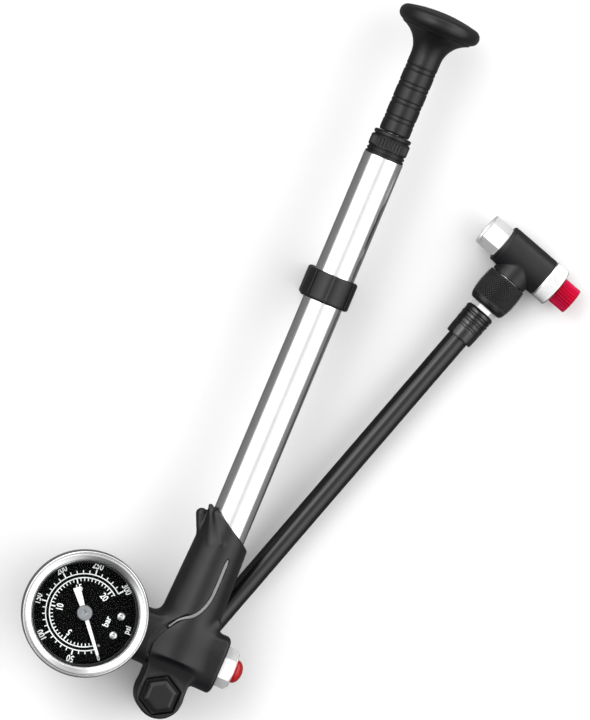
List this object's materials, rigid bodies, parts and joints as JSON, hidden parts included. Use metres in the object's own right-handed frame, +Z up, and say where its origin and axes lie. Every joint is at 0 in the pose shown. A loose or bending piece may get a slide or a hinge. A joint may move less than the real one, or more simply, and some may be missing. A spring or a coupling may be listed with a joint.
{
  "type": "mini pump",
  "caption": "High-pressure hand pump for suspension forks: slim barrel with a mushroom handle, side pressure gauge, bleed button and a swinging hose with a swivel valve head.",
  "frame": {"origin": "where the axis of the hose's pivot meets the surface that the pump lies on, at the centre of the pivot nut's flat face", "axes": "+X along the barrel towards the handle, +Y across towards the gauge, +Z up, the way the gauge faces"},
  "size_m": [0.239, 0.1273, 0.0348],
  "materials": {
    "barrel": "fine drawn and clear anodised, bright",
    "black_plastic": "moulded, fine grain",
    "soft_cover": "soft-touch moulding, satin",
    "grey_inlay": "satin",
    "grip": "soft-touch moulding, satin",
    "bolt_black": "black, satin",
    "hose_rubber": "smooth, satin",
    "ferrule_black": "black, gloss",
    "bright_metal": "bright nickel plate",
    "knurled_bright": "fine straight knurl, bright",
    "knurled_black": "diamond knurl, satin black",
    "head_black": "satin",
    "red_anodised": "fine straight knurl, red anodised",
    "red_gloss": "glossy",
    "dial_black": "matt black with white scales",
    "needle_white": "white",
    "hub_grey": "turned",
    "case_steel": "brushed",
    "lens": "clear",
    "brass": "turned",
    "steel": "ground",
    "aluminium_plain": "machined",
    "seal_rubber": "moulded O-ring rubber",
    "core_plastic": "glass-filled nylon"
  },
  "bodies": {
    "pump_body": {"barrel_tube": "barrel", "barrel_seal": "seal_rubber", "end_cap": "black_plastic", "rod_bush": "brass", "rod_wiper": "seal_rubber", "manifold": "aluminium_plain", "base_cover": "soft_cover", "inlay_stripe": "grey_inlay", "check_seat": "brass", "check_spring": "steel", "bleed_body": "bright_metal", "bleed_spring": "steel", "pivot_bolt": "bolt_black", "pivot_washer": "steel", "pivot_seals": "seal_rubber", "pivot_nut": "bolt_black", "gauge_case": "case_steel", "gauge_bezel": "bright_metal", "gauge_lens": "lens", "lens_gasket": "seal_rubber", "gauge_dial": "dial_black", "dial_screws": "steel", "stop_pin": "hub_grey", "gauge_socket": "brass", "bourdon_tube": "brass", "movement_frame": "brass", "hose_clip": "black_plastic"},
    "piston_ring": {"piston_o_ring": "seal_rubber"},
    "plunger": {"piston_rod": "steel", "piston_head": "aluminium_plain", "stop_bumper": "seal_rubber", "handle_core": "core_plastic", "handle_grip": "grip"},
    "check_valve": {"check_ball": "steel"},
    "bleed_plunger": {"bleed_button": "red_gloss", "bleed_stem": "brass", "bleed_seal": "seal_rubber"},
    "needle": {"gauge_needle": "needle_white", "needle_hub": "hub_grey", "needle_arbor": "brass"},
    "sector": {"sector_gear": "brass"},
    "hose_assembly": {"hose_swivel": "bolt_black", "lower_ferrule": "ferrule_black", "hose": "hose_rubber", "upper_ferrule": "ferrule_black", "hose_nipple": "bright_metal"},
    "head": {"swivel_nut": "knurled_black", "swivel_seal": "seal_rubber", "head_core": "aluminium_plain", "head_cover": "head_black", "chuck_seal": "seal_rubber", "head_collar": "knurled_bright"},
    "chuck": {"chuck_nut": "bright_metal"},
    "pin": {"core_pin": "steel"},
    "knob": {"pin_knob": "red_anodised", "knob_screw": "brass"}
  },
  "joints": [
    {"name": "plunger_slide", "type": "slide", "parent": "pump_body", "child": "piston_ring", "axis": [1, 0, 0], "range_m": [0, 0.124]},
    {"name": "plunger_spin", "type": "hinge", "parent": "piston_ring", "child": "plunger", "pos_m": [0.2, 0, 0.021], "axis": [1, 0, 0], "continuous": true},
    {"name": "check_ball_lift", "type": "slide", "parent": "pump_body", "child": "check_valve", "axis": [-1, 0, 0], "range_m": [0, 0.001], "stiffness_N_per_m": 40, "deforming": ["check_spring"]},
    {"name": "bleed_press", "type": "slide", "parent": "pump_body", "child": "bleed_plunger", "axis": [0, 1, 0], "range_m": [0, 0.0012], "stiffness_N_per_m": 900, "springref_m": -0.001, "deforming": ["bleed_spring"]},
    {"name": "needle_turn", "type": "hinge", "parent": "pump_body", "child": "needle", "pos_m": [0.0151, 0.0321, 0.0286], "axis": [0, 0, -1], "range_deg": [0, 258.8], "stiffness_Nm_per_rad": 0.0002},
    {"name": "sector_turn", "type": "hinge", "parent": "pump_body", "child": "sector", "pos_m": [0.0151, 0.0247, 0.0205], "axis": [0, 0, 1], "range_deg": [0, 52]},
    {"name": "hose_swing", "type": "hinge", "parent": "pump_body", "child": "hose_assembly", "pos_m": [0, 0, 0.007], "axis": [0, 0, 1], "range_deg": [-330, 18]},
    {"name": "head_swivel", "type": "hinge", "parent": "hose_assembly", "child": "head", "pos_m": [0.15976, -0.05197, 0.007], "axis": [0.9509, -0.3093, 0], "continuous": true},
    {"name": "chuck_turn", "type": "hinge", "parent": "head", "child": "chuck", "pos_m": [0.17308, -0.04368, 0.007], "axis": [0.3093, 0.9509, 0], "continuous": true},
    {"name": "pin_travel", "type": "slide", "parent": "head", "child": "pin", "axis": [0.3093, 0.9509, 0], "range_m": [0, 0.0015]},
    {"name": "knob_turn", "type": "hinge", "parent": "pin", "child": "knob", "pos_m": [0.16441, -0.07031, 0.007], "axis": [0.3093, 0.9509, 0], "range_deg": [0, 540]}
  ],
  "couplings": [
    {"joint": "sector_turn", "follows": "needle_turn", "ratio": 0.2},
    {"joint": "knob_turn", "follows": "pin_travel", "rad_per_m": 6283.2}
  ]
}
